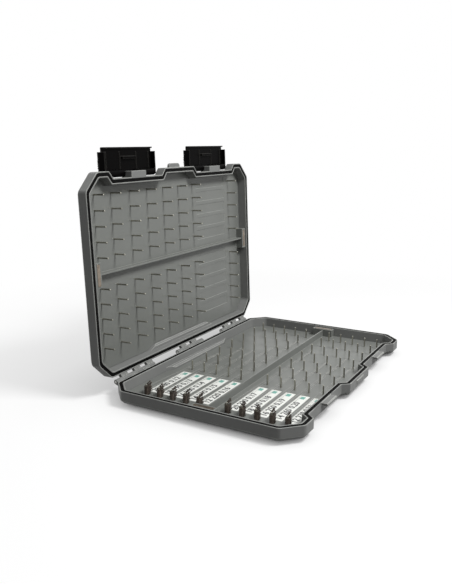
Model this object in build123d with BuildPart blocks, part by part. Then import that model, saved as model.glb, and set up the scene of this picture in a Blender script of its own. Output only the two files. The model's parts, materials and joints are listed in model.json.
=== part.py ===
from build123d import *
import math
import os

# Millimetres. X runs along the lanes, Y from the latches to the hinge, Z up.
# The origin lies on the ground under the middle of the base, and the lid stands open.

# Moulded case, the same for both halves
shell_height = 16.6
floor_skin = 1.8
rim_width = 6.7
wall_draft = 0.8
corner_cut = 20.6
corner_round = 7.0
edge_drop = 5.0
edge_run = 6.8
edge_step_drop = 1.6
edge_step_run = 3.2
rim_gap = 0.3
press_gap = 0.02
embed = 1.0

# Recesses for the two latches in the front wall
latch_from_end = 95.5
recess_width = 95.0
recess_depth = 8.5
recess_slope = 7.0
recess_round = 2.0
detent_radius = 1.0
detent_drop = 11.6

# Seal and its groove in each rim
seal_inset = 1.25
seal_width = 4.0
seal_height = 2.6
seal_proud = 0.05
seal_play = 0.05
seal_round = 0.7

# Pin board that lies in each half
board_thickness = 1.8
board_rise = 0.4
board_play = 0.3
rib_thickness = 1.6
hinge_pad_length = 154.0
hinge_pad_slope = 15.0
hinge_pad_depth = 5.6
hinge_pad_height = 4.2
hinge_pad_bevel = 2.0
divider_thickness = 1.75
divider_height = 9.2

# Lanes and pins
lanes_per_side = 5
lane_pitch = 18.07
lane_to_divider = 18.3
hook_end_room = 31.1
far_end_room = 35.9
hinge_side_room = 34.02
latch_side_room = 25.22
first_length = 98.0
length_step = 34.4
last_length = 300.0
length_pin_count = 7
lid_pin_shift = 9.9
pin_radius = 1.0
pin_round = 0.4
base_pin_length = 13.2
lid_pin_length = 15.3
pin_seat = 1.6

# Label pockets and the label strips in them
label_length = 76.0
label_width = 12.5
label_thickness = 0.25
label_start = 11.4
pocket_depth = 0.5
pocket_play = 0.3

# Magnets at both ends of each divider
magnet_length = 25.6
magnet_width = 5.0
magnet_height = 9.0
magnet_play = 0.1
magnet_wall = 2.2
magnet_from_wall = 3.7
magnet_proud = 0.3
magnet_round = 0.8
boss_drop = 1.6

# Rubber feet and the sunk panels of the outer faces
foot_length = 20.0
foot_width = 8.0
foot_height = 2.6
foot_seat = 0.8
foot_play = 0.1
foot_round = 2.0
foot_bevel = 0.4
foot_from_end = 17.5
foot_from_hinge_side = 53.7
foot_from_latch_side = 63.7
panel_depth = 0.6
panel_end_margin = 25.0
panel_side_margin = 29.2
panel_gap = 30.0

# Hinge
hinge_offset = 5.6
hinge_below_rim = 2.0
hinge_radius = 3.0
hinge_pin_radius = 1.4
hinge_play = 0.05
end_knuckles = 6
middle_knuckles = 5
hinge_from_end = 23.5
knuckle_pitch = 12.6
knuckle_gap = 0.4
web_drop = 6.0
web_gap = 0.3
web_crest = 0.98
core_radius = 0.9
core_depth = 1.2
open_angle = 91.8

# Latches
latch_reach = 30.6
latch_wide = 104.0
latch_narrow = 93.0
latch_body_end = 25.2
latch_behind = 2.5
latch_outer = 5.0
latch_plate = 2.4
latch_edge = 1.8
latch_flange_drop = 2.8
latch_flange_wall = 2.0
latch_flange_taper = 3.5
latch_barrel_play = 0.5
latch_barrel_inset = 1.5
latch_pin_radius = 1.3
latch_pivot_in = 3.5
latch_pivot_drop = 13.4
latch_play = 0.3
lip_return_depth = 2.5
lip_return_wall = 1.6
lip_round = 1.2
catch_play = 0.4
catch_rib_thickness = 3.0
catch_rib_width = 26.0
catch_rib_depth = 3.4
inner_ribs_per_side = 2
inner_rib_from_lug = 1.0
inner_rib_spacing = 25.0
inner_rib_height = 1.0
inner_rib_wall = 1.2
grip_ridge_count = 5
grip_ridge_pitch = 2.1
grip_ridge_from_pivot = 11.0
grip_ridge_height = 0.8
grip_ridge_wall = 1.0
lug_width = 28.0
lug_setback = 1.2
lug_top_radius = 2.3
catch_thickness = 2.6
catch_drop = 0.2
catch_bevel = 0.8

# Finger tabs in the middle of the front
tab_width = 24.0
tab_round = 0.8
lid_tab_reach = 5.3
lid_tab_thickness = 3.5
lid_tab_from_rim = 8.9
base_tab_reach = 1.2
base_tab_thickness = 3.7
base_tab_from_rim = 3.1

# Stored hooks and the lines tied to them
hooks_per_lane = 10
wire_radius = 0.32
hook_bend = 2.1
hook_shank = 8.5
hook_point = 3.2
hook_tip = 1.0
hook_tip_radius = 0.06
hook_eye = 0.75
eye_wire = 0.26
hook_play = 0.2
hook_pitch = 1.05
hook_first = 0.9
hook_tilt = 4.0
flat_hooks = 5
hook_turn = 4.0
turn_step = 2.2
lined_hooks = (0, 3, 6)
line_radius = 0.12
line_gap = 0.05
loop_play = 0.1
loop_first = 1.2
loop_pitch = 0.9
loop_turn = 300.0
line_columns = (2, 3, 3, 4, 5, 4, 2, 3, 4, 3)

# Worked out from the sizes above
case_length = hook_end_room + last_length + far_end_room
case_width = hinge_side_room + 2 * (lane_to_divider + (lanes_per_side - 1) * lane_pitch) + latch_side_room
half_length = case_length / 2
half_width = case_width / 2
latch_x = half_length - latch_from_end
foot_x = half_length - foot_from_end
hook_pin_x = hook_end_room - half_length
divider_y = half_width - hinge_side_room - lane_to_divider - (lanes_per_side - 1) * lane_pitch
recess_wall_y = recess_depth - half_width
lug_front_y = lug_setback - half_width
board_under = floor_skin + board_rise
board_top = board_under + board_thickness
board_inset = rim_width + wall_draft + board_play
boss_top = shell_height - boss_drop
magnet_x = half_length - rim_width - magnet_from_wall - magnet_width / 2
boss_inner_x = magnet_x - magnet_width / 2 - magnet_wall
base_rim = foot_height + shell_height
closed_height = base_rim + rim_gap + shell_height
hinge_y = half_width + hinge_offset
hinge_z = base_rim - hinge_below_rim
pivot_y = latch_pivot_in - half_width
pivot_z = base_rim + rim_gap + latch_pivot_drop
latch_under = latch_outer - latch_plate
latch_barrel_radius = recess_depth - latch_pivot_in - latch_barrel_play
catch_rib_from_pivot = latch_pivot_drop + rim_gap + catch_drop + catch_thickness + catch_play
end_group_length = end_knuckles * knuckle_pitch
hinge_groups = [(hinge_from_end - half_length, end_knuckles),
                (-middle_knuckles * knuckle_pitch / 2, middle_knuckles),
                (half_length - hinge_from_end - end_group_length, end_knuckles)]
lane_offsets = [lane_to_divider + i * lane_pitch for i in range(lanes_per_side)]
lane_ys = [divider_y + offset for offset in reversed(lane_offsets)]
lane_ys += [divider_y - offset for offset in lane_offsets]
pin_lengths = [first_length + i * length_step for i in range(length_pin_count - 1)]
pin_lengths.append(last_length)

# Each half is drawn lying open on its outer face. The lid is then turned over and swung up.
hinge_line = Location((0, hinge_y, hinge_z))
lid_swing = hinge_line * Location((0, 0, 0), (-open_angle, 0, 0)) * hinge_line.inverse()
lid_closed = Plane((0, 0, closed_height), x_dir=(-1, 0, 0), z_dir=(0, 0, -1))
base_place = Location((0, 0, foot_height))
lid_place = lid_swing * lid_closed.location


def plan_corners():
    """Corners of the case seen from above, with its cut corners and latch recesses."""
    inner = recess_width / 2
    outer = inner + recess_slope
    corners = [(-half_length, half_width - corner_cut), (-half_length, corner_cut - half_width)]
    corners.append((corner_cut - half_length, -half_width))
    for middle in (-latch_x, latch_x):
        corners.append((middle - outer, -half_width))
        corners.append((middle - inner, recess_wall_y))
        corners.append((middle + inner, recess_wall_y))
        corners.append((middle + outer, -half_width))
    corners.append((half_length - corner_cut, -half_width))
    corners += [(half_length, corner_cut - half_width), (half_length, half_width - corner_cut)]
    corners += [(half_length - corner_cut, half_width), (corner_cut - half_length, half_width)]
    return corners


def is_recess_corner(vertex):
    """True for the corners of the latch recesses, which lie between the cut corners."""
    block_middle = (latch_x + recess_width / 2 + recess_slope + half_length - corner_cut) / 2
    return vertex.Y < 0 and abs(vertex.X) < block_middle


def is_outer_corner(vertex):
    return not is_recess_corner(vertex)


def case_plan(height, inset=0.0):
    """The outline of the case at a height, moved in by the inset."""
    with BuildSketch(Plane.XY.offset(height)) as plan:
        with BuildLine():
            Polyline(*plan_corners(), close=True)
        make_face()
        if inset > 0:
            offset(amount=-inset, kind=Kind.INTERSECTION)
        fillet(plan.vertices().filter_by(is_outer_corner), corner_round)
        fillet(plan.vertices().filter_by(is_recess_corner), recess_round)
    return plan.sketch


def hinge_pad_plan(height, grow=0.0):
    """The thicker foot of the hinge wall, behind the middle of the hinge."""
    wall_y = half_width - rim_width
    front_y = wall_y - wall_draft - hinge_pad_depth
    long_half = hinge_pad_length / 2
    short_half = long_half - hinge_pad_slope
    with BuildSketch(Plane.XY.offset(height)) as plan:
        with BuildLine():
            Polyline((-long_half, wall_y), (-short_half, front_y),
                     (short_half, front_y), (long_half, wall_y), close=True)
        make_face()
        if grow > 0:
            offset(amount=grow, kind=Kind.INTERSECTION)
    return plan.sketch


def half_shell():
    """One moulded half, open upwards, with a groove in its rim and ribs under its board."""
    rib_room_x = case_length - 2 * (rim_width + wall_draft + corner_cut)
    rib_room_y = case_width - 2 * (rim_width + wall_draft + corner_cut)
    with BuildPart() as shell:
        outer_edge = [case_plan(0, edge_run), case_plan(edge_step_drop, edge_step_run)]
        loft([*outer_edge, case_plan(edge_drop)], ruled=True)
        extrude(case_plan(edge_drop), amount=shell_height - edge_drop)
        cavity = [case_plan(floor_skin, rim_width + wall_draft), case_plan(shell_height, rim_width)]
        loft(cavity, ruled=True, mode=Mode.SUBTRACT)
        with BuildSketch(Plane.XY.offset(shell_height - seal_height)):
            add(case_plan(0, seal_inset))
            add(case_plan(0, seal_inset + seal_width), mode=Mode.SUBTRACT)
        extrude(amount=seal_height, mode=Mode.SUBTRACT)
        with BuildSketch(Plane.XY.offset(floor_skin)):
            with GridLocations(0, rib_room_y / 4, 1, 5):
                Rectangle(rib_room_x, rib_thickness)
            with GridLocations(rib_room_x / 6, 0, 7, 1):
                Rectangle(rib_thickness, rib_room_y)
        extrude(amount=board_rise)
        panel_length = half_length - panel_end_margin - panel_gap / 2
        with BuildSketch():
            with GridLocations(panel_length + panel_gap, 0, 2, 1):
                RectangleRounded(panel_length, case_width - 2 * panel_side_margin, corner_round)
        extrude(amount=panel_depth, mode=Mode.SUBTRACT)
        add(hinge_pad())
    return shell.part


def hinge_pad():
    with BuildPart() as pad:
        extrude(hinge_pad_plan(floor_skin), amount=board_top + hinge_pad_height - floor_skin)
        top_edges = pad.faces().sort_by(Axis.Z)[-1].edges()
        chamfer(top_edges.sort_by(Axis.Y)[0], hinge_pad_bevel)
    return pad.part


def knuckle_spans(parity):
    """Where every second knuckle of each hinge group starts along X."""
    starts = []
    for group_start, count in hinge_groups:
        for i in range(parity, count, 2):
            starts.append(group_start + i * knuckle_pitch + knuckle_gap / 2)
    return starts


def hinge_knuckles(starts, axis_height):
    """Barrels that stand off the hinge wall, each on a web with a small core hole."""
    web_top = min(shell_height, axis_height) - web_gap
    wall_y = half_width - embed
    crest = axis_height + web_crest * hinge_radius
    core_y = half_width + hinge_offset / 3
    core_z = web_top + (crest - web_top) * (core_y - half_width - web_gap) / (hinge_offset - web_gap)
    length = knuckle_pitch - knuckle_gap
    web_heel = hinge_radius * math.cos(math.radians(45))
    with BuildPart() as knuckles:
        for start in starts:
            with BuildSketch(Plane((start, 0, 0), x_dir=(0, 1, 0), z_dir=(1, 0, 0))):
                with Locations((hinge_y, axis_height)):
                    Circle(hinge_radius)
                with BuildLine():
                    Polyline((wall_y, web_top - web_drop), (wall_y, web_top),
                             (half_width + web_gap, web_top), (hinge_y, crest),
                             (hinge_y + web_heel, axis_height - web_heel),
                             close=True)
                make_face()
            extrude(amount=length)
        with Locations(*[(start + length / 2, core_y, core_z) for start in starts]):
            Cylinder(core_radius, 2 * core_depth, mode=Mode.SUBTRACT)
    return knuckles.part


def hinge_rod(group_start, count, radius):
    """A rod along the hinge axis through one group of knuckles, in its finished place."""
    with BuildPart() as rod:
        with BuildSketch(Plane((group_start, hinge_y, hinge_z), x_dir=(0, 1, 0), z_dir=(1, 0, 0))):
            Circle(radius)
        extrude(amount=count * knuckle_pitch)
    return rod.part


def finger_tab(from_rim, thickness, reach):
    """A tab that stands out of the middle of the front wall."""
    with BuildPart() as tab:
        with BuildSketch(Plane.XY.offset(shell_height - from_rim - thickness)):
            with Locations((0, -half_width)):
                Rectangle(tab_width, 2 * reach)
        extrude(amount=thickness)
        fillet(tab.edges().filter_by(Axis.Z).group_by(Axis.Y)[0], tab_round * reach)
    return tab.part


def catch_lugs():
    """Shelves under the base's rim that the latch ribs snap under."""
    depth = recess_wall_y - lug_front_y + embed
    with BuildPart() as lugs:
        with BuildSketch(Plane.XY.offset(shell_height - catch_drop - catch_thickness)):
            with Locations((-latch_x, lug_front_y), (latch_x, lug_front_y)):
                Rectangle(lug_width, depth, align=(Align.CENTER, Align.MIN))
        extrude(amount=catch_thickness)
        front_edges = lugs.edges().filter_by(Axis.X).group_by(Axis.Y)[0]
        chamfer(front_edges.group_by(Axis.Z)[-1], catch_bevel)
    return lugs.part


def pivot_lugs():
    """Blocks in the lid's recesses that carry the latch pins, rounded about the pivot."""
    pivot_height = closed_height - pivot_z
    depth = recess_wall_y - lug_front_y + embed
    root = recess_wall_y + edge_run - pivot_y
    with BuildPart() as lugs:
        for middle in (-latch_x, latch_x):
            side = Plane((middle - lug_width / 2, 0, 0), x_dir=(0, 1, 0), z_dir=(1, 0, 0))
            with BuildSketch(side):
                with Locations((lug_front_y, pivot_height)):
                    Rectangle(depth, shell_height - pivot_height, align=(Align.MIN, Align.MIN))
                with Locations((pivot_y, pivot_height)):
                    Circle(lug_top_radius)
                    Rectangle(root, lug_top_radius, align=(Align.MIN, Align.MAX))
                    Circle(latch_pin_radius + hinge_play, mode=Mode.SUBTRACT)
            extrude(amount=lug_width)
    return lugs.part


def latch_detents():
    """Bumps on the sides of the recesses that steady a closed latch."""
    reach = (recess_width + recess_slope) / 2
    spots = [(middle + side * reach, recess_wall_y - recess_depth / 2, shell_height - detent_drop)
             for middle in (-latch_x, latch_x) for side in (-1, 1)]
    with BuildPart() as detents:
        with Locations(*spots):
            Sphere(detent_radius)
    return detents.part


def foot_spots(height):
    foot_ys = (half_width - foot_from_hinge_side, foot_from_latch_side - half_width)
    return [(x, y, height) for x in (-foot_x, foot_x) for y in foot_ys]


# Base: a half shell with the catches, the detents and seats for the feet
moulded_half = half_shell()
with BuildPart() as base_half:
    add(moulded_half)
    add(hinge_knuckles(knuckle_spans(0), shell_height - hinge_below_rim))
    add(catch_lugs())
    add(latch_detents())
    add(finger_tab(base_tab_from_rim, base_tab_thickness, base_tab_reach))
    with Locations(*foot_spots(0)):
        Box(foot_width + 2 * foot_play, foot_length + 2 * foot_play, 2 * foot_seat, mode=Mode.SUBTRACT)
with BuildPart() as base_shell:
    add(base_half.part.moved(base_place))
    for group_start, count in hinge_groups:
        add(hinge_rod(group_start, count, hinge_pin_radius + hinge_play), mode=Mode.SUBTRACT)

# Lid: a half shell with the pivot lugs. It is turned over, so its knuckles run from +X to -X.
lid_knuckle_starts = [knuckle_gap - knuckle_pitch - start for start in knuckle_spans(1)]
with BuildPart() as lid_half:
    add(moulded_half)
    add(hinge_knuckles(lid_knuckle_starts, closed_height - hinge_z))
    add(pivot_lugs())
    add(finger_tab(lid_tab_from_rim, lid_tab_thickness, lid_tab_reach))
with BuildPart() as lid_shell:
    add(lid_half.part.moved(lid_place))
    for group_start, count in hinge_groups:
        add(hinge_rod(group_start, count, hinge_pin_radius + hinge_play), mode=Mode.SUBTRACT)

pieces = {"base_shell": base_shell, "lid_shell": lid_shell}


def rim_seal():
    """A rubber ring that fills the groove of one rim."""
    bottom = shell_height - seal_height
    with BuildPart() as seal:
        with BuildSketch(Plane.XY.offset(bottom)):
            add(case_plan(0, seal_inset + seal_play))
            add(case_plan(0, seal_inset + seal_width - seal_play), mode=Mode.SUBTRACT)
        extrude(amount=seal_height + seal_proud)
        fillet(seal.faces().sort_by(Axis.Z)[-1].edges(), seal_round)
    return seal.part


with BuildPart() as base_seal:
    add(rim_seal().moved(base_place))
with BuildPart() as lid_seal:
    add(rim_seal().moved(lid_place))
pieces.update(base_seal=base_seal, lid_seal=lid_seal)


def pin_spots(shift, lengths, height):
    """Where the pins of all lanes stand, at these distances from the hook pins."""
    return [(hook_pin_x + shift + length, y, height) for y in lane_ys for length in lengths]


def pin_board(shift):
    """The inner board of one half: divider, magnet bosses, label pockets and pin holes."""
    boss_length = magnet_length + 2 * (magnet_play + magnet_wall)
    boss_depth = half_length - board_inset - boss_inner_x
    label_middle = hook_pin_x + shift + label_start + label_length / 2
    hole_spots = pin_spots(shift, [0, *pin_lengths], board_top - pin_seat)
    with BuildPart() as board:
        extrude(case_plan(board_under, board_inset), amount=board_thickness)
        extrude(hinge_pad_plan(board_under, board_play), amount=board_thickness, mode=Mode.SUBTRACT)
        with BuildSketch(Plane.XY.offset(board_top)):
            with Locations((0, divider_y)):
                Rectangle(2 * boss_inner_x + embed, divider_thickness)
        extrude(amount=divider_height)
        with BuildSketch(Plane.XY.offset(board_top)):
            with Locations((0, divider_y)):
                with GridLocations(2 * boss_inner_x + boss_depth, 0, 2, 1):
                    Rectangle(boss_depth, boss_length)
        extrude(amount=boss_top - board_top)
        with Locations((-magnet_x, divider_y, boss_top), (magnet_x, divider_y, boss_top)):
            slot = (magnet_width + 2 * magnet_play, magnet_length + 2 * magnet_play)
            Box(*slot, 2 * (magnet_height - magnet_proud), mode=Mode.SUBTRACT)
        with Locations(*[(label_middle, y, board_top) for y in lane_ys]):
            pocket = (label_length + 2 * pocket_play, label_width + 2 * pocket_play)
            Box(*pocket, 2 * pocket_depth, mode=Mode.SUBTRACT)
        with Locations(*hole_spots):
            Cylinder(pin_radius + press_gap, pin_seat + embed,
                     align=(Align.CENTER, Align.CENTER, Align.MIN), mode=Mode.SUBTRACT)
    return board.part


def pin_group(shift, lengths, pin_length):
    """Straight pins with rounded tips, pressed into the board."""
    with BuildPart() as one_pin:
        Cylinder(pin_radius, pin_length + pin_seat, align=(Align.CENTER, Align.CENTER, Align.MIN))
        fillet(one_pin.faces().sort_by(Axis.Z)[-1].edges(), pin_round)
    with BuildPart() as group:
        with Locations(*pin_spots(shift, lengths, board_top - pin_seat)):
            add(one_pin.part)
    return group.part


def magnet_bar(side):
    with BuildPart() as magnet:
        with Locations((side * magnet_x, divider_y, boss_top + magnet_proud)):
            Box(magnet_width, magnet_length, magnet_height, align=(Align.CENTER, Align.CENTER, Align.MAX))
        fillet(magnet.edges().filter_by(Axis.Z), magnet_round)
    return magnet.part


# What each half holds
for half, place, shift, pin_length in (("base", base_place, 0.0, base_pin_length),
                                       ("lid", lid_place, lid_pin_shift, lid_pin_length)):
    with BuildPart() as board:
        add(pin_board(shift).moved(place))
    with BuildPart() as hook_pins:
        add(pin_group(shift, [0], pin_length).moved(place))
    with BuildPart() as length_pins:
        add(pin_group(shift, pin_lengths, pin_length).moved(place))
    pieces[f"{half}_pin_board"] = board
    pieces[f"{half}_hook_pins"] = hook_pins
    pieces[f"{half}_length_pins"] = length_pins
    near_side = -1 if half == "base" else 1
    for name, side in (("near", near_side), ("far", -near_side)):
        with BuildPart() as magnet:
            add(magnet_bar(side).moved(place))
        pieces[f"{half}_magnet_{name}"] = magnet

# Hinge pins, one for each group of knuckles
for name, (group_start, count) in zip(("near", "middle", "far"), hinge_groups):
    with BuildPart() as hinge_pin:
        add(hinge_rod(group_start, count, hinge_pin_radius))
    pieces[f"hinge_pin_{name}"] = hinge_pin

# Rubber feet
for (x, y, z), name in zip(foot_spots(0), ("near_hinge", "near_latch", "far_hinge", "far_latch")):
    with BuildPart() as foot:
        with Locations((x, y, z)):
            Box(foot_width, foot_length, foot_height + foot_seat,
                align=(Align.CENTER, Align.CENTER, Align.MIN))
        fillet(foot.edges().filter_by(Axis.Z), foot_round)
        chamfer(foot.faces().sort_by(Axis.Z)[0].edges(), foot_bevel)
    pieces[f"foot_{name}"] = foot


def latch_section():
    """Half of the latch's section across its width: the plate and its slanted side flange."""
    edge_z = latch_outer - latch_edge
    flange_x = latch_wide / 2 - latch_flange_taper
    slant = latch_flange_taper / (edge_z + latch_flange_drop)
    inner_x = latch_wide / 2 - slant * (edge_z - latch_under) - latch_flange_wall
    return [(latch_wide / 2, latch_outer), (latch_wide / 2, edge_z), (flange_x, -latch_flange_drop),
            (flange_x - latch_flange_wall, -latch_flange_drop), (inner_x, latch_under)]


def latch_body():
    """A latch standing open: pivot at the origin, outer face up, free end towards -Y."""
    right = latch_section()
    left = [(-x, z) for x, z in reversed(right)]
    barrel_end = recess_width / 2 - latch_barrel_inset
    barrel_start = lug_width / 2 + latch_play
    first_rib_x = lug_width / 2 + inner_rib_from_lug + inner_rib_wall / 2
    rib_y = -(catch_rib_from_pivot + catch_rib_thickness / 2)
    lip_length = latch_reach - latch_body_end
    with BuildPart() as latch:
        with BuildSketch(Plane.XZ.offset(-latch_behind)):
            with BuildLine():
                Polyline(*right, *left, close=True)
            make_face()
        extrude(amount=latch_behind + latch_body_end)
        with BuildSketch(Plane.XY.offset(latch_under)):
            with Locations((0, embed - latch_body_end)):
                Rectangle(latch_narrow, lip_length + embed, align=(Align.CENTER, Align.MAX))
        extrude(amount=latch_plate)
        with BuildSketch(Plane.XY.offset(latch_under - lip_return_depth)):
            with Locations((0, -latch_reach)):
                Rectangle(latch_narrow, lip_return_wall, align=(Align.CENTER, Align.MIN))
        extrude(amount=lip_return_depth)
        lip_edge = latch.faces().sort_by(Axis.Z)[-1].edges().filter_by(Axis.X).group_by(Axis.Y)[0]
        fillet(lip_edge, lip_round)
        with Locations((0, rib_y, latch_under)):
            Box(catch_rib_width, catch_rib_thickness, catch_rib_depth,
                align=(Align.CENTER, Align.CENTER, Align.MAX))
        rib_length = latch_body_end - latch_barrel_radius
        for i in range(inner_ribs_per_side):
            rib_x = first_rib_x + i * inner_rib_spacing
            with Locations((-rib_x, -latch_body_end, latch_under), (rib_x, -latch_body_end, latch_under)):
                Box(inner_rib_wall, rib_length, inner_rib_height,
                    align=(Align.CENTER, Align.MIN, Align.MAX))
        with Locations((0, -grip_ridge_from_pivot, latch_outer)):
            with GridLocations(0, grip_ridge_pitch, 1, grip_ridge_count):
                Box(latch_wide, grip_ridge_wall, 2 * grip_ridge_height)
        for side in (-1, 1):
            start = barrel_start if side > 0 else -barrel_end
            with BuildSketch(Plane((start, 0, 0), x_dir=(0, 1, 0), z_dir=(1, 0, 0))):
                Circle(latch_barrel_radius)
                Rectangle(2 * latch_behind, latch_under + embed, align=(Align.CENTER, Align.MIN))
            extrude(amount=barrel_end - barrel_start)
        with BuildSketch(Plane((-latch_wide, 0, 0), x_dir=(0, 1, 0), z_dir=(1, 0, 0))):
            Circle(latch_pin_radius + hinge_play)
        extrude(amount=2 * latch_wide, mode=Mode.SUBTRACT)
    return latch.part


# Latches and their pins, which swing on the lid's lugs
pin_reach = latch_wide / 2 - latch_flange_taper
for name, middle in (("near", -latch_x), ("far", latch_x)):
    pivot = lid_swing * Location((middle, pivot_y, pivot_z))
    with BuildPart() as latch:
        add(latch_body().moved(pivot))
    with BuildPart() as rod:
        with BuildSketch(Plane((-pin_reach, 0, 0), x_dir=(0, 1, 0), z_dir=(1, 0, 0))):
            Circle(latch_pin_radius)
        extrude(amount=2 * pin_reach)
    with BuildPart() as latch_pin:
        add(rod.part.moved(pivot))
    pieces[f"latch_{name}"] = latch
    pieces[f"latch_pin_{name}"] = latch_pin

# Hooks and lines. A hook lies flat with its bend round the pin and its eye towards +X.
bend_middle = hook_bend - pin_radius - wire_radius - hook_play
eye_x = bend_middle + hook_shank + hook_eye
knot_x = eye_x + hook_eye + eye_wire + line_gap
with BuildPart() as hook:
    with BuildLine() as wire:
        Line((bend_middle + hook_shank, hook_bend), (bend_middle, hook_bend))
        ThreePointArc((bend_middle, hook_bend), (bend_middle - hook_bend, 0), (bend_middle, -hook_bend))
        Line((bend_middle, -hook_bend), (bend_middle + hook_point, -hook_bend))
    with BuildSketch(Plane(wire.line @ 0, z_dir=wire.line % 0)):
        Circle(wire_radius)
    sweep(path=wire.line)
    with Locations((eye_x, hook_bend, 0)):
        Torus(hook_eye, eye_wire)
    with Locations(Location((bend_middle + hook_point, -hook_bend, 0), (0, 90, 0))):
        Cone(wire_radius, hook_tip_radius, hook_tip, align=(Align.CENTER, Align.CENTER, Align.MIN))


def hook_place(lane, i, y):
    """Where hook i of a lane lies: turned a little, and tilted at the top of its stack."""
    tilt = hook_tilt * max(0, i - flat_hooks)
    turn = hook_turn * math.sin(turn_step * i + lane)
    height = foot_height + board_top + hook_first + i * hook_pitch
    return Location((hook_pin_x, y, height), (0, -tilt, turn))


def tied_line(start, pin_x, y, height):
    """A line from a hook's eye to a loop round the pin at its length, in one tube."""
    loop_radius = pin_radius + line_radius + loop_play
    run_x = pin_x - start[0]
    run_y = y - start[1]
    angle = math.degrees(math.atan2(run_y, run_x) + math.asin(loop_radius / math.hypot(run_x, run_y)))
    touch = Vector(pin_x, y, height) + Vector(0, loop_radius, 0).rotate(Axis.Z, angle)
    with BuildPart() as line:
        with BuildLine() as run:
            Line(start, touch)
            add(CenterArc((pin_x, y, height), loop_radius, 90 + angle, -loop_turn, mode=Mode.PRIVATE))
        with BuildSketch(Plane(run.line @ 0, z_dir=run.line % 0)):
            Circle(line_radius)
        sweep(path=run.line)
    return line.part


for lane, y in enumerate(lane_ys):
    loop_x = hook_pin_x + pin_lengths[line_columns[lane]]
    places = [hook_place(lane, i, y) for i in range(hooks_per_lane)]
    knots = [(places[i] * Location((knot_x, hook_bend, 0))).position for i in lined_hooks]
    with BuildPart() as hooks:
        add([hook.part.moved(place) for place in places])
    tied_lines = []
    for i, knot in enumerate(knots):
        loop_height = foot_height + board_top + loop_first + i * loop_pitch
        tied_lines.append(tied_line(tuple(knot), loop_x, y, loop_height))
    with BuildPart() as lines:
        add(tied_lines)
    with BuildPart() as label:
        label_x = hook_pin_x + label_start + label_length / 2
        with Locations((label_x, y, foot_height + board_top - pocket_depth)):
            Box(label_length, label_width, label_thickness, align=(Align.CENTER, Align.CENTER, Align.MIN))
    pieces[f"hooks_lane_{lane + 1}"] = hooks
    pieces[f"lines_lane_{lane + 1}"] = lines
    pieces[f"label_lane_{lane + 1}"] = label

os.makedirs("parts", exist_ok=True)
for name, piece in pieces.items():
    piece.part.label = name
    export_step(piece.part, f"parts/{name}.step")
    print(name, len(piece.part.solids()), round(piece.part.volume, 1))
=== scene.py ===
# %% [markdown]
# A hooklength box in grey moulded plastic
#
# The box is a clamshell case for tied fishing hooks. Each half is a shallow tray with a black seal in
# its rim and rows of steel pins on an inner board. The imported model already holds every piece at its
# real size, so this lesson is about the looks: soft moulded edges, surface grain, worn plastic, wire
# hooks, fine lines and printed labels. All lengths are in metres.

# %% Load the fixed frame
import json
import math

import bmesh
import bpy
from mathutils import Matrix, Vector

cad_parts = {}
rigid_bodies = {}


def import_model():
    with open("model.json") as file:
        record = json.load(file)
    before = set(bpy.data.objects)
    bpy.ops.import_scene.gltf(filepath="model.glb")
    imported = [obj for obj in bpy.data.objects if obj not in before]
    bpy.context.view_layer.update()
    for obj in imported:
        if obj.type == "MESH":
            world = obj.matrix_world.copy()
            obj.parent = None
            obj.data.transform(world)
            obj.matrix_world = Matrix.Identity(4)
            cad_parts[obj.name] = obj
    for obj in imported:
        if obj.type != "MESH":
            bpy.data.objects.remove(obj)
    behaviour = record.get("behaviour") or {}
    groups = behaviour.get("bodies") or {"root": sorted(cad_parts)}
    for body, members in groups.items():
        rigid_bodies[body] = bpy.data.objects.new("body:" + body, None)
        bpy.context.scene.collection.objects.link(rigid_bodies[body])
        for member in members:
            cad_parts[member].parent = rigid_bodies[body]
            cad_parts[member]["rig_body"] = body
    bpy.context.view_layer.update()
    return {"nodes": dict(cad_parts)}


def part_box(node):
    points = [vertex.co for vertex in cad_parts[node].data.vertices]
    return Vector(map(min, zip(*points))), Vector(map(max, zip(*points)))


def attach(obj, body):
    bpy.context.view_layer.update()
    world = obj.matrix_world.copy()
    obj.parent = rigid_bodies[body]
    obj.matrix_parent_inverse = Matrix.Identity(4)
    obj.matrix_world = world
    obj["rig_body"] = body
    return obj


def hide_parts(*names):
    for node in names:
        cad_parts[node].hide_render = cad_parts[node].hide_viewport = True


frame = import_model()
nodes = frame["nodes"]
MM = 0.001

# %% [markdown]
# The camera looks down a little, from off the near corner. Its place and lens come from the grid of
# pins, whose spacing is regular on both halves, so that the pins' tips in the render lie within two
# pixels of those in the photograph. The sensor is as long as the picture is high.

# %% Camera
PHOTO_WIDTH, PHOTO_HEIGHT = 452, 584
FOCAL_PIXELS = 639.4
camera = bpy.data.cameras.new("photo_camera")
camera.sensor_width = 36.0
camera.lens = camera.sensor_width * FOCAL_PIXELS / PHOTO_HEIGHT
camera_object = bpy.data.objects.new("photo_camera", camera)
camera_object.location = (-0.7114, -0.3505, 0.2927)
camera_object.rotation_euler = [math.radians(a) for a in (76.938, 0.36, -59.683)]
bpy.context.scene.collection.objects.link(camera_object)
bpy.context.scene.camera = camera_object
print("camera:", round(camera.lens, 2), "mm lens for a frame of", PHOTO_WIDTH, "by", PHOTO_HEIGHT)

# %% [markdown]
# Materials are node trees. Two helpers keep them short: one makes a new node with its settings, and
# one starts a material with a shader, object coordinates and the constants that are the same all
# over. Those constants are set on the shader's own sockets.

# %% Node helpers


def add_node(tree, kind, inputs=None, **settings):
    """A new node, with its settings and the values of its unlinked inputs."""
    node = tree.nodes.new(kind)
    for name, value in settings.items():
        setattr(node, name, value)
    for name, value in (inputs or {}).items():
        node.inputs[name].default_value = value
    return node


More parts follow.
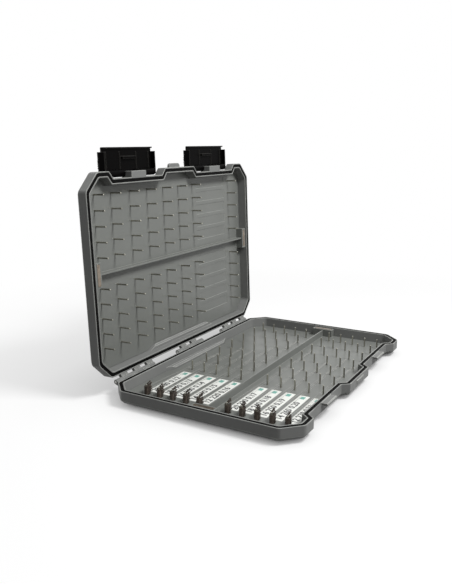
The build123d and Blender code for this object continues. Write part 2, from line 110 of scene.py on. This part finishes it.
def new_material(name, constants):
    """A material, its tree, its shader and its object coordinates."""
    material = bpy.data.materials.new(name)
    material.use_nodes = True
    tree = material.node_tree
    shader = tree.nodes["Principled BSDF"]
    for socket, value in constants.items():
        shader.inputs[socket].default_value = value
    place = add_node(tree, "ShaderNodeTexCoord").outputs["Object"]
    return material, tree, shader, place


def noise(tree, place, scale, detail=3.0, roughness=0.5):
    """A noise pattern of about 1 / scale metres."""
    node = add_node(tree, "ShaderNodeTexNoise", {"Scale": scale, "Detail": detail, "Roughness": roughness})
    tree.links.new(place, node.inputs["Vector"])
    return node.outputs["Fac"]


def ramp(tree, value, low, high, low_value, high_value):
    """Maps the stretch of a value from low to high onto two other values."""
    node = add_node(tree, "ShaderNodeMapRange", {"From Min": low, "From Max": high,
                                                 "To Min": low_value, "To Max": high_value})
    tree.links.new(value, node.inputs["Value"])
    return node.outputs["Result"]


def mix_colours(tree, amount, first, second):
    """A blend of two colours, each a fixed one or a socket."""
    node = add_node(tree, "ShaderNodeMix", data_type="RGBA")
    tree.links.new(amount, node.inputs["Factor"])
    for socket, colour in ((node.inputs[6], first), (node.inputs[7], second)):
        if isinstance(colour, bpy.types.NodeSocket):
            tree.links.new(colour, socket)
        else:
            socket.default_value = (*colour, 1.0)
    return node.outputs[2]


def bump(tree, shader, height, distance, strength=1.0):
    """Relief from a height pattern, in metres of full depth."""
    node = add_node(tree, "ShaderNodeBump", {"Strength": strength, "Distance": distance})
    tree.links.new(height, node.inputs["Height"])
    tree.links.new(node.outputs["Normal"], shader.inputs["Normal"])


print("helpers ready")

# %% [markdown]
# The case, the pin boards and the finger tabs are one family of mid-grey plastic. A mould gives it a
# fine etched grain, seen here as a soft satin. Three things keep it from looking flat: slow drifts of
# tone, fine speckle with the grain's relief, and a paler rim along the edges, which is partly wear where
# edges rub and partly a painted highlight where they catch the light. The pale rim needs to know where
# edges are, so the edge-softening step below writes it into the mesh as an attribute.

# %% Moulded plastic


def moulded_plastic(name, colour, wear_and_highlight_colour, roughness, specular, grain=0.00003):
    """Etched grey plastic with tone drift, fine grain and pale edges: partly rubbed wear, partly painted
    highlight.
    """
    material, tree, shader, place = new_material(name, {"Specular IOR Level": specular})
    darker = [c * 0.95 for c in colour]
    lighter = [c * 1.05 for c in colour]
    drift = ramp(tree, noise(tree, place, 14.0, 4.0), 0.35, 0.65, 0.0, 1.0)
    tone = mix_colours(tree, drift, darker, lighter)
    speckle = ramp(tree, noise(tree, place, 1900.0, 2.0), 0.3, 0.7, 0.0, 0.18)
    tone = mix_colours(tree, speckle, tone, darker)
    # Pale edges: partly rubbed wear, partly a painted highlight along the rounded edges.
    wear_and_highlight = add_node(tree, "ShaderNodeAttribute", attribute_name="edge_wear_and_highlight").outputs["Fac"]
    patchy = add_node(tree, "ShaderNodeMath", operation="MULTIPLY")
    tree.links.new(wear_and_highlight, patchy.inputs[0])
    tree.links.new(ramp(tree, noise(tree, place, 90.0, 3.0), 0.3, 0.7, 0.35, 0.9), patchy.inputs[1])
    tone = mix_colours(tree, patchy.outputs["Value"], tone, wear_and_highlight_colour)
    tree.links.new(tone, shader.inputs["Base Color"])
    gloss = ramp(tree, noise(tree, place, 40.0, 5.0), 0.3, 0.7, roughness - 0.05, roughness + 0.06)
    tree.links.new(gloss, shader.inputs["Roughness"])
    bump(tree, shader, noise(tree, place, 1500.0, 2.0), grain, 0.5)
    return material


CASE_GREY = (0.172, 0.175, 0.170)
BOARD_GREY = (0.150, 0.156, 0.146)
# The pale edge colour stands for wear and for a painted highlight.
WEAR_AND_HIGHLIGHT_GREY = (0.54, 0.55, 0.51)
case_plastic = moulded_plastic("case_plastic", CASE_GREY, WEAR_AND_HIGHLIGHT_GREY, 0.52, 0.22)
board_plastic = moulded_plastic("board_plastic", BOARD_GREY, WEAR_AND_HIGHLIGHT_GREY, 0.36, 0.4)
print("materials:", case_plastic.name, board_plastic.name)

# %% [markdown]
# The latches are near black and smoother than the case, and get faint hairline scratches. The seals
# and feet are rubber: dull, with a little dust. Stretching the noise along one axis with a Mapping
# node turns spots into scratches.

# %% Black plastic and rubber


def black_plastic(name):
    """Satin black plastic with paler edges, partly rubbed wear and partly painted highlight, and fine
    scratches along its length.
    """
    material, tree, shader, place = new_material(name, {"Specular IOR Level": 0.02})
    wear_and_highlight = add_node(tree, "ShaderNodeAttribute", attribute_name="edge_wear_and_highlight").outputs["Fac"]
    # Paler edges: partly wear, partly a painted highlight on the rounded edges.
    tone = mix_colours(tree, wear_and_highlight, (0.0022, 0.0020, 0.0020), (0.030, 0.029, 0.027))
    tree.links.new(tone, shader.inputs["Base Color"])
    stretch = add_node(tree, "ShaderNodeMapping", {"Scale": (0.06, 1.0, 1.0)})
    tree.links.new(place, stretch.inputs["Vector"])
    hairs = ramp(tree, noise(tree, stretch.outputs["Vector"], 2600.0, 2.0), 0.55, 0.75, 0.0, 1.0)
    gloss = ramp(tree, hairs, 0.0, 1.0, 0.26, 0.44)
    tree.links.new(gloss, shader.inputs["Roughness"])
    bump(tree, shader, noise(tree, place, 700.0, 3.0), 0.00002, 0.35)
    return material


def rubber(name, colour, dust):
    """Dull rubber with a little dust."""
    material, tree, shader, place = new_material(name, {"Specular IOR Level": 0.04, "Roughness": 0.7})
    amount = ramp(tree, noise(tree, place, 220.0, 5.0, 0.6), 0.5, 0.75, 0.0, 0.6)
    tree.links.new(mix_colours(tree, amount, colour, dust), shader.inputs["Base Color"])
    bump(tree, shader, noise(tree, place, 1200.0, 3.0), 0.00004, 0.4)
    return material


latch_plastic = black_plastic("latch_plastic")
seal_rubber = rubber("seal_rubber", (0.0035, 0.0035, 0.0035), (0.008, 0.008, 0.007))
foot_rubber = rubber("foot_rubber", (0.012, 0.012, 0.012), (0.05, 0.048, 0.044))
print("materials:", latch_plastic.name, seal_rubber.name, foot_rubber.name)

# %% [markdown]
# Four metals: satin steel pins, ground and plated magnets, plain steel axles and dark-coated hooks.
# Metal takes its colour from what it mirrors, so each one is mostly roughness, broken up by a fine
# grind pattern. The magnets also carry a warm tarnish.

# %% Metals


def satin_metal(name, colour, stained, roughness, grind=900.0):
    """Metal with a fine grind and a patchy stain."""
    material, tree, shader, place = new_material(name, {"Metallic": 1.0})
    patches = ramp(tree, noise(tree, place, 160.0, 5.0, 0.6), 0.45, 0.7, 0.0, 1.0)
    tree.links.new(mix_colours(tree, patches, colour, stained), shader.inputs["Base Color"])
    gloss = ramp(tree, noise(tree, place, grind, 3.0), 0.3, 0.7, roughness - 0.07, roughness + 0.1)
    tree.links.new(gloss, shader.inputs["Roughness"])
    bump(tree, shader, noise(tree, place, 2.5 * grind, 2.0), 0.000012, 0.4)
    return material


pin_steel = satin_metal("pin_steel", (0.38, 0.37, 0.32), (0.28, 0.27, 0.23), 0.36)
axle_steel = satin_metal("axle_steel", (0.42, 0.42, 0.41), (0.3, 0.29, 0.27), 0.35)
magnet_plating = satin_metal("magnet_plating", (0.28, 0.235, 0.19), (0.13, 0.10, 0.08), 0.34, 500.0)
hook_coating = satin_metal("hook_coating", (0.075, 0.062, 0.052), (0.040, 0.032, 0.027), 0.36)
print("materials:", pin_steel.name, axle_steel.name, magnet_plating.name, hook_coating.name)

# %% [markdown]
# The labels are white card with printing on it, and the lines are clear nylon that mostly shows as a
# pale glint. Card gets faint fibres, ink is a dark tone that the fibres break up, and nylon lets some
# light through.

# %% Card, ink and nylon


def card(name, colour, shade, fibre):
    """Coated card or print with a faint fibre grain."""
    material, tree, shader, place = new_material(name, {"Specular IOR Level": 0.4, "Roughness": 0.46})
    fibres = ramp(tree, noise(tree, place, fibre, 4.0, 0.6), 0.35, 0.7, 0.0, 1.0)
    tree.links.new(mix_colours(tree, fibres, colour, shade), shader.inputs["Base Color"])
    bump(tree, shader, noise(tree, place, 2.0 * fibre, 2.0), 0.00001, 0.3)
    return material


def nylon(name):
    """Clear line with slight kinks in its gloss."""
    material, tree, shader, place = new_material(name, {"IOR": 1.5, "Transmission Weight": 0.35})
    haze = ramp(tree, noise(tree, place, 500.0, 2.0), 0.3, 0.7, 0.0, 1.0)
    tree.links.new(mix_colours(tree, haze, (0.62, 0.62, 0.58), (0.5, 0.5, 0.47)), shader.inputs["Base Color"])
    tree.links.new(ramp(tree, haze, 0.0, 1.0, 0.15, 0.3), shader.inputs["Roughness"])
    return material


label_card = card("label_card", (0.76, 0.77, 0.74), (0.69, 0.70, 0.66), 700.0)
label_ink = card("label_ink", (0.020, 0.021, 0.025), (0.045, 0.045, 0.05), 900.0)
label_band = card("label_band", (0.13, 0.33, 0.28), (0.16, 0.38, 0.33), 600.0)
line_nylon = nylon("line_nylon")
print("materials:", label_card.name, label_ink.name, label_band.name, line_nylon.name)

# %% [markdown]
# A moulded piece has no knife edges. Each CAD shape is copied, its loose triangles are joined, and its
# flat faces are made whole, but split again where they bend inwards, so that no face can fold over
# itself. Every sharp edge then gets a small rounded bevel. The bevel's faces are marked in an attribute,
# which the plastic reads as wear and as a painted highlight. The copy stands for the CAD node and rides
# on the same body.

# %% Softened copies
SHELL_EDGE, BOARD_EDGE, LATCH_EDGE = 0.35 * MM, 0.25 * MM, 0.3 * MM
MAGNET_EDGE, FOOT_EDGE = 0.25 * MM, 0.2 * MM
# How much of the pale edge, wear and painted highlight, each plastic gets.
SHELL_WEAR_AND_HIGHLIGHT, BOARD_WEAR_AND_HIGHLIGHT = 0.65, 0.3
MERGE_DISTANCE = 0.01 * MM
FLAT_ANGLE, SHARP_ANGLE = math.radians(1), math.radians(30)


def finish_piece(name, bm, material, body, smooth_angle=35.0):
    """Makes a shown object of a bmesh, shaded smooth up to an angle, riding on a body."""
    mesh = bpy.data.meshes.new(name)
    bm.to_mesh(mesh)
    bm.free()
    mesh.materials.append(material)
    mesh.shade_smooth()
    mesh.set_sharp_from_angle(angle=math.radians(smooth_angle))
    piece = bpy.data.objects.new(name, mesh)
    bpy.context.scene.collection.objects.link(piece)
    flat_first = piece.modifiers.new("flat_faces_first", "WEIGHTED_NORMAL")
    flat_first.weight = 100
    flat_first.keep_sharp = True
    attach(piece, body)
    return piece


def body_name(node):
    return nodes[node]["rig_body"]


def softened(node, radius, material, wear_and_highlight_amount=1.0):
    """A copy of a CAD node with its sharp edges rounded, which replaces the node."""
    bm = bmesh.new()
    bm.from_mesh(nodes[node].data)
    bmesh.ops.remove_doubles(bm, verts=bm.verts, dist=MERGE_DISTANCE)
    bmesh.ops.dissolve_limit(bm, angle_limit=FLAT_ANGLE, verts=bm.verts, edges=bm.edges, delimit=set())
    bmesh.ops.connect_verts_concave(bm, faces=bm.faces)
    wear_and_highlight = bm.faces.layers.float.new("edge_wear_and_highlight")
    sharp = [edge for edge in bm.edges if edge.calc_face_angle(0) > SHARP_ANGLE]
    rounded = bmesh.ops.bevel(bm, geom=sharp, offset=radius, offset_type="OFFSET", segments=2,
                              profile=0.5, affect="EDGES", clamp_overlap=False, loop_slide=False,
                              material=-1)
    # The bevel's faces carry the pale edge: wear and painted highlight.
    for face in rounded["faces"]:
        face[wear_and_highlight] = wear_and_highlight_amount
    piece = finish_piece(f"{node}_moulded", bm, material, body_name(node))
    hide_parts(node)
    return piece


for half in ("base", "lid"):
    softened(f"{half}_shell", SHELL_EDGE, case_plastic, SHELL_WEAR_AND_HIGHLIGHT)
    softened(f"{half}_pin_board", BOARD_EDGE, board_plastic, BOARD_WEAR_AND_HIGHLIGHT)
for side in ("near", "far"):
    softened(f"latch_{side}", LATCH_EDGE, latch_plastic)
    for half in ("base", "lid"):
        softened(f"{half}_magnet_{side}", MAGNET_EDGE, magnet_plating)
    for edge in ("hinge", "latch"):
        softened(f"foot_{side}_{edge}", FOOT_EDGE, foot_rubber)

# %% [markdown]
# Pieces that are round already, such as pins, axles and seals, keep their CAD meshes. They only need
# the right material and smooth shading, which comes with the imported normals.

# %% Materials for the carried-over nodes
LANES = 10


def dress(material, *names):
    """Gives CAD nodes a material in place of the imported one."""
    for name in names:
        nodes[name].data.materials.clear()
        nodes[name].data.materials.append(material)


dress(seal_rubber, "base_seal", "lid_seal")
dress(pin_steel, "base_hook_pins", "base_length_pins", "lid_hook_pins", "lid_length_pins")
dress(axle_steel, "hinge_pin_near", "hinge_pin_middle", "hinge_pin_far", "latch_pin_near", "latch_pin_far")
for lane in range(1, LANES + 1):
    dress(line_nylon, f"lines_lane_{lane}")
    dress(label_card, f"label_lane_{lane}")
print("dressed:", sum(1 for node in nodes.values() if not node.hide_render), "CAD nodes")

# %% [markdown]
# Every lane keeps ten hooks, stacked flat on the lane's hook pin. A hook is one wire: an eye, a
# straight shank, a round bend and a tapered point with a barb. Extruding a small hexagon along the
# shank and spinning it round the bend makes the wire in a few steps. The whipping beside the eye is a
# sleeve of its own. The hooks lie where the CAD ones do but are drawn heavier. Each is a little turned,
# and the top ones tilt.

# %% Hooks
HOOKS_IN_LANE = 10
WIRE = 0.48 * MM
BEND = 2.5 * MM
BEND_X = 0.58 * MM
SHANK = 9.8 * MM
POINT = 3.2 * MM
TIP = 1.3 * MM
EYE = 1.0 * MM
EYE_WIRE = 0.42 * MM
FIRST_HOOK = 0.9 * MM
HOOK_PITCH = 1.05 * MM
FLAT_HOOKS, TILT_STEP = 6, 3.6
TURN, TURN_STEP = 4.0, 2.2
WIRE_SIDES, BEND_STEPS = 6, 8
EYE_SIDES, EYE_STEPS = 5, 10
TIP_TAPER = 0.15
BARB_LEAN = 72
SLEEVE_MIDDLE, SLEEVE_LENGTH = 0.74 * SHANK, 0.42 * SHANK
HOOK_MERGE = 0.005 * MM
LABEL_BELOW_BOARD = 0.25 * MM


def extruded(bm, edges, shift, scale=1.0):
    """Extrudes a ring of edges along a shift, and scales the new ring about its middle."""
    grown = bmesh.ops.extrude_edge_only(bm, edges=edges)["geom"]
    ring = [item for item in grown if isinstance(item, bmesh.types.BMVert)]
    bmesh.ops.translate(bm, verts=ring, vec=shift)
    middle = sum((vert.co for vert in ring), Vector()) / len(ring)
    bmesh.ops.scale(bm, verts=ring, vec=(scale, scale, scale), space=Matrix.Translation(-middle))
    return [item for item in grown if isinstance(item, bmesh.types.BMEdge)]


def wire_ring(bm, sides, radius, x, y):
    """The edges of a small ring square to X."""
    place = Matrix.Translation((x, y, 0)) @ Matrix.Rotation(math.pi / 2, 4, "Y")
    ring = bmesh.ops.create_circle(bm, segments=sides, radius=radius, matrix=place)["verts"]
    return list({edge for vert in ring for edge in vert.link_edges})


def hook_shape():
    """A hook lying flat, with the pin's middle at the origin and its eye towards +X."""
    bm = bmesh.new()
    edges = wire_ring(bm, WIRE_SIDES, WIRE, BEND_X + SHANK, BEND)
    edges = extruded(bm, edges, (-SHANK, 0, 0))
    bent = bmesh.ops.spin(bm, geom=edges, cent=(BEND_X, 0, 0), axis=(0, 0, 1), angle=math.pi,
                          steps=BEND_STEPS)
    edges = [item for item in bent["geom_last"] if isinstance(item, bmesh.types.BMEdge)]
    edges = extruded(bm, edges, (POINT, 0, 0))
    extruded(bm, edges, (TIP, 0, 0), TIP_TAPER)
    barb = Matrix.Translation((BEND_X + POINT, -BEND + WIRE, 0))
    barb = barb @ Matrix.Rotation(math.radians(-BARB_LEAN), 4, "Y")
    bmesh.ops.create_cone(bm, cap_ends=True, segments=4, radius1=0.5 * WIRE, radius2=0.05 * WIRE,
                          depth=2.4 * WIRE, matrix=barb)
    sleeve = Matrix.Translation((BEND_X + SLEEVE_MIDDLE, BEND, 0)) @ Matrix.Rotation(math.pi / 2, 4, "Y")
    bmesh.ops.create_cone(bm, cap_ends=True, segments=6, radius1=1.7 * WIRE, radius2=1.3 * WIRE,
                          depth=SLEEVE_LENGTH, matrix=sleeve)
    eye_x = BEND_X + SHANK + EYE
    ring = bmesh.ops.create_circle(bm, segments=EYE_SIDES, radius=EYE_WIRE,
                                   matrix=Matrix.Translation((eye_x, BEND + EYE, 0))
                                   @ Matrix.Rotation(math.pi / 2, 4, "Y"))["verts"]
    eye_edges = list({edge for vert in ring for edge in vert.link_edges})
    bmesh.ops.spin(bm, geom=eye_edges, cent=(eye_x, BEND, 0), axis=(0, 0, 1), angle=2 * math.pi,
                   steps=EYE_STEPS, use_merge=True)
    bmesh.ops.remove_doubles(bm, verts=bm.verts, dist=HOOK_MERGE)
    open_edges = [edge for edge in bm.edges if edge.is_boundary]
    bmesh.ops.holes_fill(bm, edges=open_edges, sides=WIRE_SIDES)
    bmesh.ops.recalc_face_normals(bm, faces=bm.faces)
    mesh = bpy.data.meshes.new("hook_shape")
    bm.to_mesh(mesh)
    bm.free()
    return mesh


one_hook = hook_shape()
pin_low, pin_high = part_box("base_hook_pins")
hook_pin_x = (pin_low[0] + pin_high[0]) / 2
for lane in range(LANES):
    label_low, label_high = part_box(f"label_lane_{lane + 1}")
    lane_y = (label_low[1] + label_high[1]) / 2
    board_top = label_high[2] + LABEL_BELOW_BOARD
    bm = bmesh.new()
    for i in range(HOOKS_IN_LANE):
        tilt = math.radians(-TILT_STEP * max(0, i - FLAT_HOOKS))
        turn = math.radians(TURN * math.sin(TURN_STEP * i + lane))
        place = Matrix.Translation((hook_pin_x, lane_y, board_top + FIRST_HOOK + i * HOOK_PITCH))
        place = place @ Matrix.Rotation(tilt, 4, "Y") @ Matrix.Rotation(turn, 4, "Z")
        before = len(bm.verts)
        bm.from_mesh(one_hook)
        bm.verts.ensure_lookup_table()
        bmesh.ops.transform(bm, matrix=place, verts=bm.verts[before:])
    piece = finish_piece(f"hooks_{lane + 1}", bm, hook_coating, "base", 50.0)
    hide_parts(f"hooks_lane_{lane + 1}")
print("hooks:", HOOKS_IN_LANE, "in each lane,", len(one_hook.polygons), "faces each")

# %% [markdown]
# Each label strip is printed with three plain numbers, for a size, a length and a line's thickness, and
# a plain bar at the end. The figures are made with a text curve, thickened by an offset, which becomes a
# mesh a few hundredths of a millimetre high, so that the ink stands on the card.

# %% Printed numbers
INK_DEPTH = 0.04 * MM
FIGURES = 11.0 * MM
FIGURE_WEIGHT = 0.3 * MM
LABEL_MARGIN = 3.0 * MM
BAR_FROM_END, HALF_BAR = 3.4 * LABEL_MARGIN, 2.6 * MM


def add_print(bm, words, size, x, y, z):
    """Adds raised figures to a bmesh, starting at x, with their middle at y."""
    curve = bpy.data.curves.new("figures", "FONT")
    curve.body = words
    curve.size = size
    curve.align_y = "CENTER"
    curve.resolution_u = 2
    curve.offset = FIGURE_WEIGHT
    curve.extrude = INK_DEPTH
    writer = bpy.data.objects.new("figures", curve)
    mesh = bpy.data.meshes.new_from_object(writer)
    before = len(bm.verts)
    bm.from_mesh(mesh)
    bm.verts.ensure_lookup_table()
    bmesh.ops.translate(bm, verts=bm.verts[before:], vec=(x, y, z))
    bpy.data.objects.remove(writer)


def add_bar(bm, low, high):
    """Adds a flat bar between two corners."""
    middle = [(a + b) / 2 for a, b in zip(low, high)]
    size = [b - a for a, b in zip(low, high)]
    bmesh.ops.create_cube(bm, size=1.0, matrix=Matrix.Translation(middle) @ Matrix.Diagonal((*size, 1.0)))


for lane in range(LANES):
    low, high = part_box(f"label_lane_{lane + 1}")
    middle_y = (low[1] + high[1]) / 2
    top = high[2]
    bm = bmesh.new()
    words = f"{20 - 2 * (lane % 5)} {180 + 10 * lane} 0.{12 + lane}"
    add_print(bm, words, FIGURES, low[0] + LABEL_MARGIN, middle_y, top)
    piece = finish_piece(f"label_figures_{lane + 1}", bm, label_ink, "base")
    bm = bmesh.new()
    add_bar(bm, (high[0] - BAR_FROM_END, middle_y - HALF_BAR, top - INK_DEPTH),
            (high[0] - LABEL_MARGIN, middle_y + HALF_BAR, top + INK_DEPTH))
    piece = finish_piece(f"label_bar_{lane + 1}", bm, label_band, "base")
print("labels printed:", LANES)

# %% [markdown]
# The floor is a pale sweep under a white surround. The light is a soft key lamp from the latch side,
# high up, a weak lamp that lifts the lid's back, and the world's even fill. Camera rays see a floor that
# is mostly white by itself, with painted shade: its glow is dimmed by ambient occlusion where the case
# is near, so the case stands in a painted soft shade.

# %% Floor, lamps and world
FLOOR_SIZE = 6.0
FLOOR_PAINT, FLOOR_BOUNCE, WORLD_FILL = 0.84, 0.16, 0.35
# Reach and strength of the painted shade around the case.
PAINTED_SHADE_REACH, PAINTED_SHADE_POWER = 0.11, 0.45
FADE_FROM, FADE_TO, FADE_LOW = 0.2, 0.75, 0.55
WHITE = (1.0, 1.0, 1.0, 1.0)


def seen_directly(tree):
    """1 for rays from the camera and for rays that mirrors or clear things send on, otherwise 0."""
    rays = add_node(tree, "ShaderNodeLightPath")
    direct = rays.outputs["Is Camera Ray"]
    for kind in ("Is Glossy Ray", "Is Transmission Ray"):
        either = add_node(tree, "ShaderNodeMath", operation="MAXIMUM")
        tree.links.new(direct, either.inputs[0])
        tree.links.new(rays.outputs[kind], either.inputs[1])
        direct = either.outputs[0]
    return direct


bm = bmesh.new()
bmesh.ops.create_grid(bm, x_segments=1, y_segments=1, size=FLOOR_SIZE)
floor_mesh = bpy.data.meshes.new("floor")
bm.to_mesh(floor_mesh)
bm.free()
floor = bpy.data.objects.new("floor", floor_mesh)
bpy.context.scene.collection.objects.link(floor)
floor_paint, tree, shader, place = new_material("floor_paint", {"Roughness": 0.9, "Specular IOR Level": 0.0})
shader.inputs["Base Color"].default_value = (FLOOR_PAINT, FLOOR_PAINT, FLOOR_PAINT, 1.0)
white = add_node(tree, "ShaderNodeEmission", {"Color": WHITE})
# Painted shade: the floor's white glow is dimmed by ambient occlusion where the case is near.
painted_shade_occlusion = add_node(tree, "ShaderNodeAmbientOcclusion", {"Distance": PAINTED_SHADE_REACH}, samples=8)
painted_shade_dim = add_node(tree, "ShaderNodeMath", {1: PAINTED_SHADE_POWER}, operation="POWER")
tree.links.new(painted_shade_occlusion.outputs["AO"], painted_shade_dim.inputs[0])
tree.links.new(painted_shade_dim.outputs["Value"], white.inputs["Strength"])
distance = add_node(tree, "ShaderNodeVectorMath", operation="LENGTH")
tree.links.new(place, distance.inputs[0])
fade = ramp(tree, distance.outputs["Value"], FADE_FROM, FADE_TO, FADE_LOW, 1.0)
pale = add_node(tree, "ShaderNodeMixShader")
tree.links.new(fade, pale.inputs[0])
tree.links.new(shader.outputs[0], pale.inputs[1])
tree.links.new(white.outputs[0], pale.inputs[2])
matt = add_node(tree, "ShaderNodeBsdfDiffuse", {"Color": (FLOOR_BOUNCE, FLOOR_BOUNCE, FLOOR_BOUNCE, 1.0)})
shown = add_node(tree, "ShaderNodeMixShader")
tree.links.new(seen_directly(tree), shown.inputs[0])
tree.links.new(matt.outputs[0], shown.inputs[1])
tree.links.new(pale.outputs[0], shown.inputs[2])
tree.links.new(shown.outputs[0], tree.nodes["Material Output"].inputs["Surface"])
floor_mesh.materials.append(floor_paint)

world = bpy.data.worlds.new("studio")
bpy.context.scene.world = world
world.use_nodes = True
tree = world.node_tree
fill = tree.nodes["Background"]
fill.inputs["Color"].default_value = WHITE
fill.inputs["Strength"].default_value = WORLD_FILL
seen = add_node(tree, "ShaderNodeBackground", {"Color": WHITE, "Strength": 1.0})
choose = add_node(tree, "ShaderNodeMixShader")
tree.links.new(seen_directly(tree), choose.inputs[0])
tree.links.new(fill.outputs[0], choose.inputs[1])
tree.links.new(seen.outputs[0], choose.inputs[2])
tree.links.new(choose.outputs[0], tree.nodes["World Output"].inputs["Surface"])


def add_lamp(name, size, watts, location, target):
    """A round soft lamp at a place, turned towards a target."""
    lamp = bpy.data.lights.new(name, "AREA")
    lamp.shape = "DISK"
    lamp.size = size
    lamp.energy = watts
    lamp_object = bpy.data.objects.new(name, lamp)
    lamp_object.location = location
    lamp_object.rotation_euler = (Vector(target) - Vector(location)).to_track_quat("-Z", "Y").to_euler()
    bpy.context.scene.collection.objects.link(lamp_object)


add_lamp("key", 0.45, 21.0, (0.05, -0.75, 1.15), (0.0, 0.02, 0.06))
add_lamp("back_fill", 1.2, 6.0, (0.1, 1.3, 0.55), (0.0, 0.14, 0.14))
bpy.context.scene.view_settings.view_transform = "Standard"
print("studio:", len(bpy.data.lights), "lamps")
